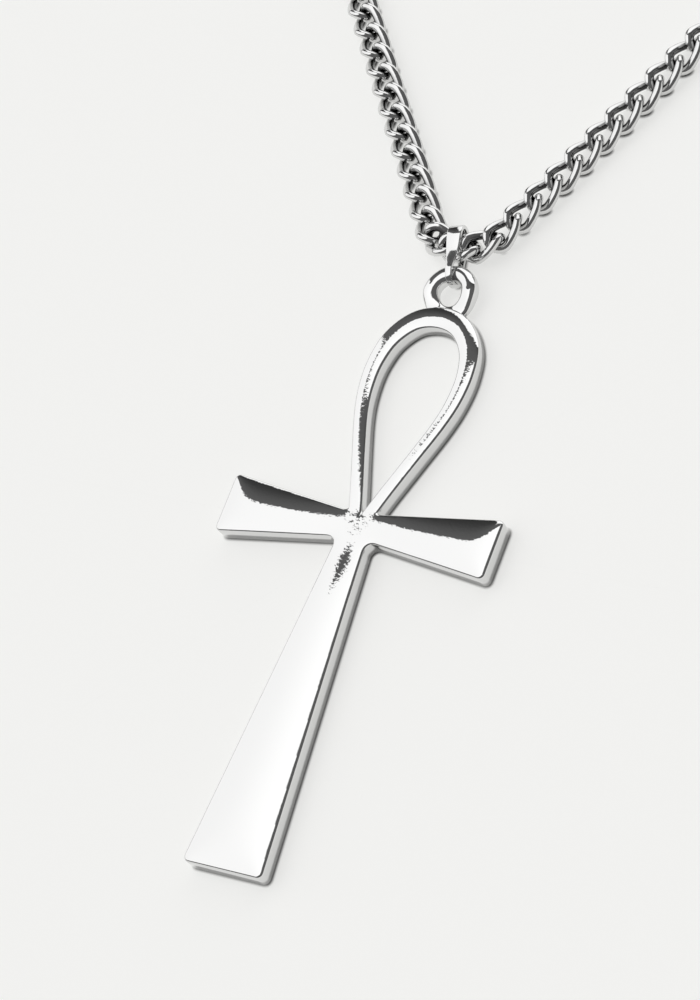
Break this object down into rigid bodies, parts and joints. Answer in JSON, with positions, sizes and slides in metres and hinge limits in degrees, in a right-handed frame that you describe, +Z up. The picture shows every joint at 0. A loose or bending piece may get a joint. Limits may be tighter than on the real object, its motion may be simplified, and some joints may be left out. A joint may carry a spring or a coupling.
{
  "type": "ankh pendant necklace",
  "caption": "Crowned ankh pendant with a cast eye and a folded strap bail on a closed curb-link neck chain, laid face up.",
  "frame": {"origin": "centre of the ankh's crossing, on its flat back", "axes": "+X across the ankh, +Y from the stem's foot to the loop, +Z up out of the polished front"},
  "size_m": [0.1555, 0.3096, 0.0043],
  "materials": {
    "ankh": "mirror polished and plated",
    "bail": "polished and plated",
    "chain": "polished and plated",
    "findings": "polished and plated"
  },
  "bodies": {
    "root": {"ankh": "ankh", "bail": "bail", "chain_left": "chain", "chain_right": "chain", "jump_ring_left": "findings", "jump_ring_right": "findings", "clasp": "findings"}
  },
  "joints": []
}
